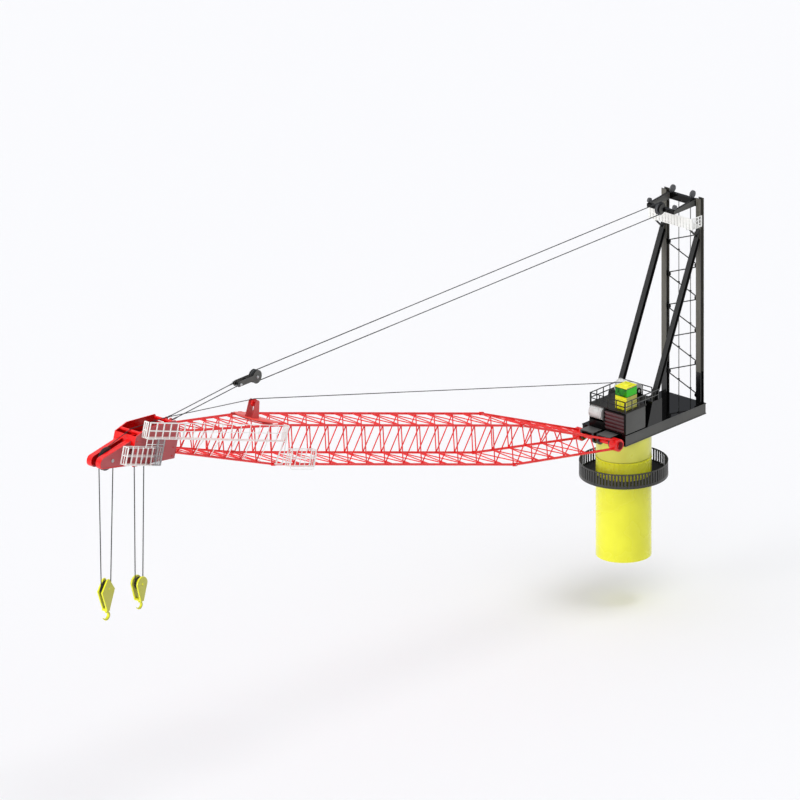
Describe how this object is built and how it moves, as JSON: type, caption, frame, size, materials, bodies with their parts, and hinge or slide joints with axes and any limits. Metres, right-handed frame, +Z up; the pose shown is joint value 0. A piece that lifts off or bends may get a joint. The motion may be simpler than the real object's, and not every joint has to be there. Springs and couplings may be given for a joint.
{
  "type": "offshore pedestal crane with a lattice boom, 1:10 scale model",
  "caption": "Offshore pedestal crane as a scale model: a slewing deck on a round pedestal carries a cab, winches and a rear mast whose ropes luff a long red lattice boom with hook blocks.",
  "frame": {"origin": "centre of the flat underside of the pedestal, on the slewing axis", "axes": "+X along the boom towards its head, +Y to the crane's left where the cab is, +Z up along the pedestal"},
  "size_m": [9.1696, 0.895, 3.6435],
  "materials": {
    "pedestal_yellow": "gloss yellow paint",
    "turret_yellow": "gloss yellow paint",
    "black_paint": "gloss black paint",
    "deck_grey": "gloss grey paint",
    "dark_grey": "satin dark grey paint",
    "cab_yellow": "gloss yellow paint",
    "cab_glass": "green tinted glass",
    "drum_steel": "light worn steel",
    "white_paint": "white paint",
    "boom_red": "gloss red paint",
    "sheave_grey": "machined grey",
    "rope": "galvanised wire rope",
    "block_yellow": "gloss yellow paint"
  },
  "bodies": {
    "pedestal": {"pedestal_column": "pedestal_yellow", "slew_bearing": "black_paint", "ring_walkway_floor": "black_paint", "ring_walkway_railing": "black_paint"},
    "superstructure": {"slew_turret": "turret_yellow", "revolving_deck": "deck_grey", "boom_foot_brackets": "black_paint", "boom_foot_pins": "dark_grey", "machinery_house": "deck_grey", "strut_brackets": "dark_grey", "roof_deck": "dark_grey", "roof_railing": "black_paint", "cab_body": "cab_yellow", "cab_glazing": "cab_glass", "cab_roof": "cab_yellow", "front_winch_frame": "black_paint", "roof_winch_stand": "black_paint", "mast_legs": "dark_grey", "mast_bracing": "dark_grey", "mast_struts": "dark_grey", "mast_head_frame": "black_paint", "mast_head_sheaves": "sheave_grey", "mast_platform": "white_paint", "mast_platform_railing": "white_paint", "mast_ropes": "rope"},
    "front_winch": {"front_winch_drum": "drum_steel"},
    "roof_winch": {"roof_winch_drum": "drum_steel"},
    "boom": {"boom_foot_sides": "boom_red", "boom_foot_lacing": "boom_red", "boom_mid_sides": "boom_red", "boom_mid_lacing": "boom_red", "boom_tip_sides": "boom_red", "boom_tip_lacing": "boom_red", "boom_head": "boom_red", "boom_head_sheaves": "sheave_grey", "rope_tower": "boom_red", "tower_sheave": "sheave_grey", "gangway_floor": "white_paint", "gangway_railing": "white_paint", "head_basket": "white_paint", "landing_basket": "white_paint", "boom_rope": "rope"},
    "luff_rope_run": {"luff_ropes": "rope"},
    "bridle": {"bridle_block": "black_paint", "bridle_sheave": "sheave_grey", "pendants": "rope"},
    "hoist_rope_run": {"hoist_rope": "rope"},
    "main_falls": {"main_fall_ropes": "rope"},
    "main_hook_block": {"main_block": "block_yellow", "main_block_sheave": "sheave_grey"},
    "main_hook_body": {"main_hook": "block_yellow"},
    "aux_falls": {"aux_fall_ropes": "rope"},
    "aux_hook_block": {"aux_block": "block_yellow", "aux_block_sheave": "sheave_grey"},
    "aux_hook_body": {"aux_hook": "block_yellow"}
  },
  "joints": [
    {"name": "slew", "type": "hinge", "parent": "pedestal", "child": "superstructure", "pos_m": [0, 0, 1.0653], "axis": [0, 0, 1], "continuous": true},
    {"name": "luff", "type": "hinge", "parent": "superstructure", "child": "boom", "pos_m": [0.397, 0, 1.3303], "axis": [0, -1, 0], "range_deg": [0, 60], "deforming": ["luff_ropes", "hoist_rope"]},
    {"name": "main_hoist", "type": "slide", "parent": "main_falls", "child": "main_hook_block", "axis": [0, 0, 1], "range_m": [-1.4, 0.6], "deforming": ["main_fall_ropes"]},
    {"name": "aux_hoist", "type": "slide", "parent": "aux_falls", "child": "aux_hook_block", "axis": [0, 0, 1], "range_m": [-1.4, 0.55], "deforming": ["aux_fall_ropes"]},
    {"name": "main_hook_swivel", "type": "hinge", "parent": "main_hook_block", "child": "main_hook_body", "pos_m": [8.02001, 0, 1.6777], "axis": [0, 0, 1], "continuous": true},
    {"name": "aux_hook_swivel", "type": "hinge", "parent": "aux_hook_block", "child": "aux_hook_body", "pos_m": [7.63465, 0.107, 1.70173], "axis": [0, 0, 1], "continuous": true},
    {"name": "front_winch_turn", "type": "hinge", "parent": "superstructure", "child": "front_winch", "pos_m": [0.27, 0, 1.5653], "axis": [0, 1, 0], "continuous": true},
    {"name": "roof_winch_turn", "type": "hinge", "parent": "superstructure", "child": "roof_winch", "pos_m": [-0.1, 0, 1.7323], "axis": [0, 1, 0], "continuous": true},
    {"name": "luff_rope_swing", "type": "hinge", "parent": "superstructure", "child": "luff_rope_run", "pos_m": [-0.565, 0, 3.5203], "axis": [0, -1, 0], "range_deg": [0, 63]},
    {"name": "bridle_travel", "type": "slide", "parent": "luff_rope_run", "child": "bridle", "axis": [1, 0, 0], "range_m": [-2.376, 0]},
    {"name": "hoist_rope_swing", "type": "hinge", "parent": "superstructure", "child": "hoist_rope_run", "pos_m": [-0.1, 0, 1.7323], "axis": [0, -1, 0], "range_deg": [0, 60]},
    {"name": "main_fall_swing", "type": "hinge", "parent": "boom", "child": "main_falls", "pos_m": [8.02001, 0, 3.2977], "axis": [0, 1, 0], "range_deg": [0, 60]},
    {"name": "aux_fall_swing", "type": "hinge", "parent": "boom", "child": "aux_falls", "pos_m": [7.63465, 0.107, 3.22673], "axis": [0, 1, 0], "range_deg": [0, 60]}
  ],
  "couplings": [
    {"joint": "luff_rope_swing", "follows": "luff", "ratio": 1.0477},
    {"joint": "bridle_travel", "follows": "luff", "m_per_rad": -2.2678},
    {"joint": "hoist_rope_swing", "follows": "luff", "ratio": 0.98671},
    {"joint": "main_fall_swing", "follows": "luff", "ratio": 1},
    {"joint": "aux_fall_swing", "follows": "luff", "ratio": 1}
  ]
}
